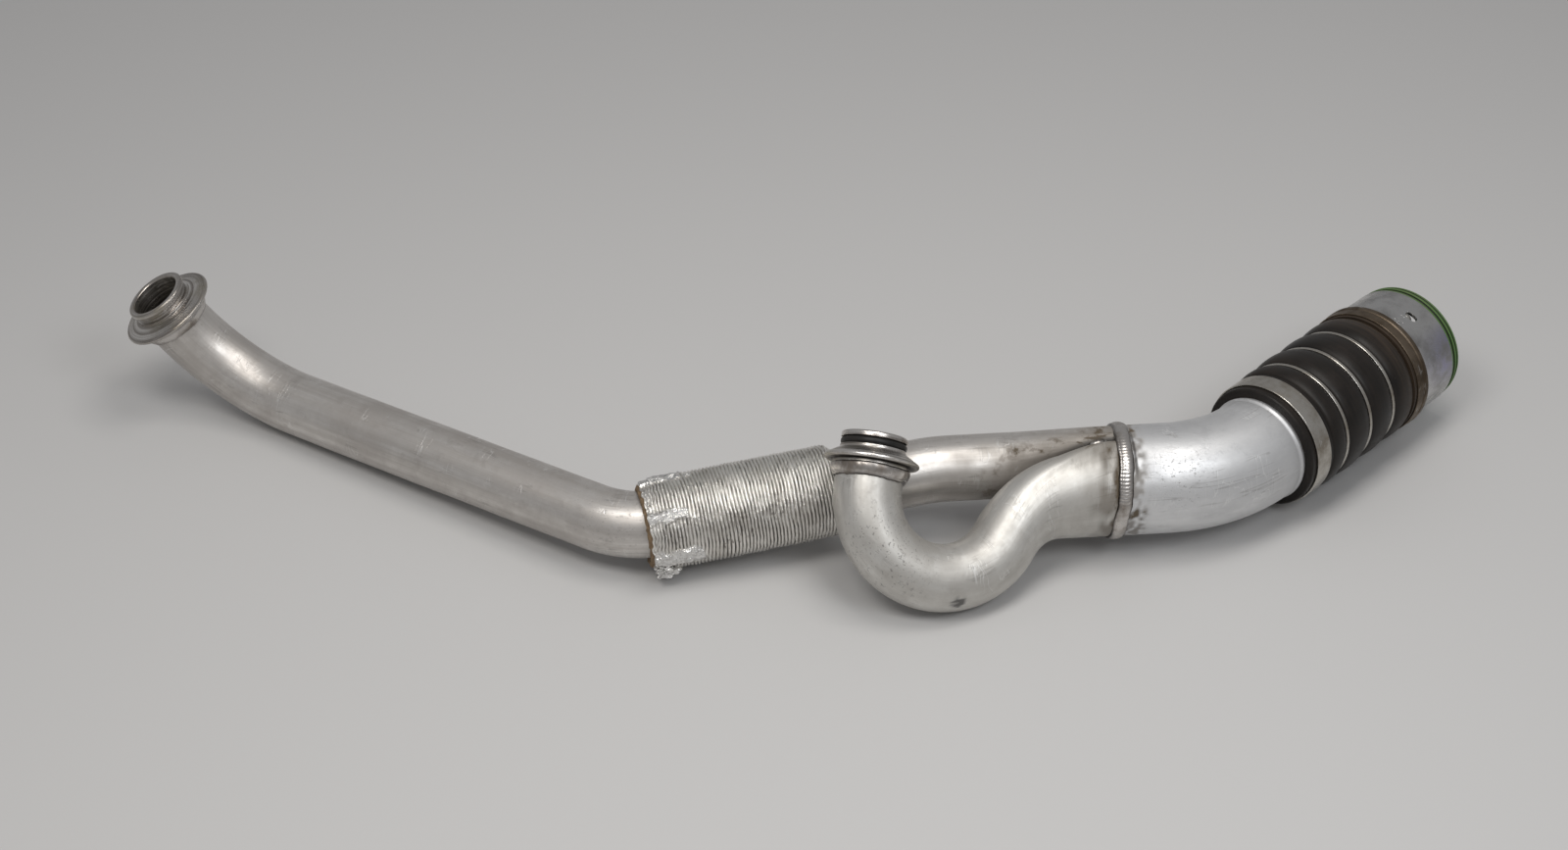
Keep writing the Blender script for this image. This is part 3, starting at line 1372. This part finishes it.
dress(felt(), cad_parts["heat_shield_liner"], felt_rim)

# %% [markdown]
# ## Rubber
# The hose is black rubber under brown road dust, which lies thickest towards the connector. The
# finish reads that from the painted dust, and dirt in the seal's grooves from the painted soil.
# Films, crumbs and rubbed lines keep a dark surface from looking like a hole.

# %% Dress hose, O-ring and seal
ROAD_DUST = (0.105, 0.072, 0.046, 1)
CRUMB = (0.20, 0.17, 0.13, 1)
GROOVE_DIRT = (0.006, 0.007, 0.005, 1)
RUBBER_GLOSS = 0.3


def rubber(name, clean, dusty, dust_cover, roughness):
    material, tree, inputs = new_material(name)
    inputs["Specular IOR Level"].default_value = RUBBER_GLOSS
    place = unrolled(tree)
    film = use(tree, stains, place, Scale=38.0, Cover=dust_cover, Softness=0.2)
    crumbs = use(tree, specks, place, Scale=640.0, Share=0.1)
    rubs = use(tree, grain, place, Scale=(26.0, 26.0, 420.0), Contrast=2.0)
    streaks = calc(tree, "MULTIPLY", rubs, painted(tree, "dust"))
    colour = layers(
        tree, clean, (film, 0.8, dusty), (streaks, 1, ROAD_DUST), (crumbs, 0.7, CRUMB),
        (painted(tree, "soil"), 0.9, GROOVE_DIRT),
    )
    feed(tree, inputs["Base Color"], colour)
    feed(tree, inputs["Roughness"], summed(tree, roughness, (film, 0.2), (rubs, 0.08)))
    relief(tree, inputs, calc(tree, "ADD", rubs, crumbs), 0.00012, 0.5)
    return material


hose_rubber = rubber("dusty hose rubber", (0.004, 0.0036, 0.0033, 1), (0.014, 0.010, 0.008, 1),
                     dust_cover=0.42, roughness=0.34)
seal_rubber = rubber("o-ring rubber", (0.010, 0.010, 0.010, 1), (0.035, 0.030, 0.026, 1),
                     dust_cover=0.4, roughness=0.38)
green_rubber = rubber("green seal rubber", (0.075, 0.155, 0.042, 1), (0.10, 0.135, 0.055, 1),
                      dust_cover=0.42, roughness=0.34)
dress(hose_rubber, hose)
dress(seal_rubber, o_ring)
dress(green_rubber, gasket)

# %% [markdown]
# ## Steel
# Rings, bands and connector are plain steel with fine lines round them, a stained film and a few
# bright scratches. Oil on the connector's flank turns it a little blue, where the film was painted.
# Three sets of numbers make bright rings, a greasy brown band and a smooth connector.

# %% Dress rings, bands and connector
OIL_FILM = (0.26, 0.25, 0.44, 1)
BRIGHT_CUT = (0.75, 0.74, 0.72, 1)


def steel(name, bright, dark, cover, roughness):
    material, tree, inputs = new_material(name, metallic=1.0)
    place = unrolled(tree)
    lines = use(tree, grain, place, Scale=(12.0, 12.0, 1500.0), Contrast=1.8)
    film = use(tree, stains, place, Scale=46.0, Cover=cover, Softness=0.15)
    cuts = use(tree, scratches, place, Scale=(60.0, 60.0, 620.0), Share=0.45)
    oil = calc(tree, "MULTIPLY", painted(tree, "film"), calc(tree, "SUBTRACT", 1.0, film))
    colour = layers(tree, bright, (film, 1, dark), (cuts, 0.5, BRIGHT_CUT), (oil, 1, OIL_FILM))
    feed(tree, inputs["Base Color"], colour)
    feed(tree, inputs["Roughness"], summed(tree, roughness, (film, 0.18), (lines, 0.07)))
    relief(tree, inputs, calc(tree, "SUBTRACT", lines, cuts), 0.00008, 0.5)
    return material


ring_steel = steel("hose ring steel", (0.54, 0.52, 0.48, 1), (0.27, 0.235, 0.19, 1),
                   cover=0.46, roughness=0.22)
band_steel = steel("greasy band steel", (0.20, 0.16, 0.12, 1), (0.075, 0.055, 0.038, 1),
                   cover=0.5, roughness=0.36)
socket_steel = steel("connector steel", (0.56, 0.555, 0.545, 1), (0.29, 0.285, 0.28, 1),
                     cover=0.46, roughness=0.17)
dress(ring_steel, collector_band, *hose_rings, tongue)
dress(band_steel, connector_band)
dress(socket_steel, connector)

# %% [markdown]
# ## The floor
# The pipe lies on a plain pale floor, a flat grid that is far wider than the view, so that no edge
# or horizon shows.

# %% Lay the floor
FLOOR_COLOUR = (0.53, 0.525, 0.52, 1)
FLOOR_HALF = 12


def make_floor():
    material, _, inputs = new_material("pale floor", roughness=0.55)
    inputs["Base Color"].default_value = FLOOR_COLOUR
    work = bmesh.new()
    bmesh.ops.create_grid(work, x_segments=8, y_segments=8, size=FLOOR_HALF)
    mesh = bpy.data.meshes.new("floor")
    work.to_mesh(mesh)
    work.free()
    mesh.materials.append(material)
    floor = add_object("floor", mesh)
    print("floor:", 2 * FLOOR_HALF, "m wide")


make_floor()

# %% [markdown]
# ## Light
# Bare metal shows its lamps as much as its colour. Three softboxes stand where the highlights of
# the left bend, the jacket and the elbow ask for them: left, overhead and right, the last a little
# cooler. A grey world fills the shadows and gives the metal something to mirror.

# %% Lamps and world
WARM, COOL = (1, 0.975, 0.94), (0.96, 0.98, 1)
BOX_WIDE, BOX_DEEP = 0.55, 0.4
WORLD_GREY = (0.32, 0.32, 0.325, 1)


def softbox(name, location, target, power, colour, width=BOX_WIDE):
    lamp = bpy.data.lights.new(name, "AREA")
    lamp.shape = "RECTANGLE"
    lamp.size, lamp.size_y = width, BOX_DEEP
    lamp.energy = power
    lamp.color = colour
    obj = add_object(name, lamp)
    obj.location = location
    aim = Vector(target) - Vector(location)
    obj.rotation_euler = aim.to_track_quat("-Z", "Y").to_euler()
    print(name, "at", location)


softbox("left softbox", (-0.42, -0.55, 1.2), (-0.2, -0.05, 0), 5.5, WARM)
softbox("overhead softbox", (0.22, -0.12, 1.25), (0.15, -0.05, 0), 4.5, WARM, width=0.6)
softbox("right softbox", (0.55, -0.85, 1.15), (0.3, -0.1, 0), 4.5, COOL)

world = bpy.data.worlds.new("studio")
world.use_nodes = True
world.node_tree.nodes["Background"].inputs["Color"].default_value = WORLD_GREY
bpy.context.scene.world = world
bpy.context.scene.view_settings.view_transform = "Standard"

# %% [markdown]
# ## Camera
# The camera looks down at the angle of the photograph. Its place is measured from the weld, the
# spot that is easiest to find again in a picture, and the lens is a little longer than a normal one.

# %% Set the camera
CAMERA_FROM_WELD = (-0.28755, -1.11819, 0.898)
CAMERA_TILT, CAMERA_PAN = 53, -5
LENS, SENSOR = 58.3, 36

camera_data = bpy.data.cameras.new("camera")
camera_data.sensor_width = SENSOR
camera_data.lens = LENS
camera = add_object("camera", camera_data)
camera.location = Vector(weld * MM) + Vector(CAMERA_FROM_WELD)
camera.rotation_euler = (math.radians(CAMERA_TILT), 0, math.radians(CAMERA_PAN))
bpy.context.scene.camera = camera
print("camera at", [round(c, 3) for c in camera.location])
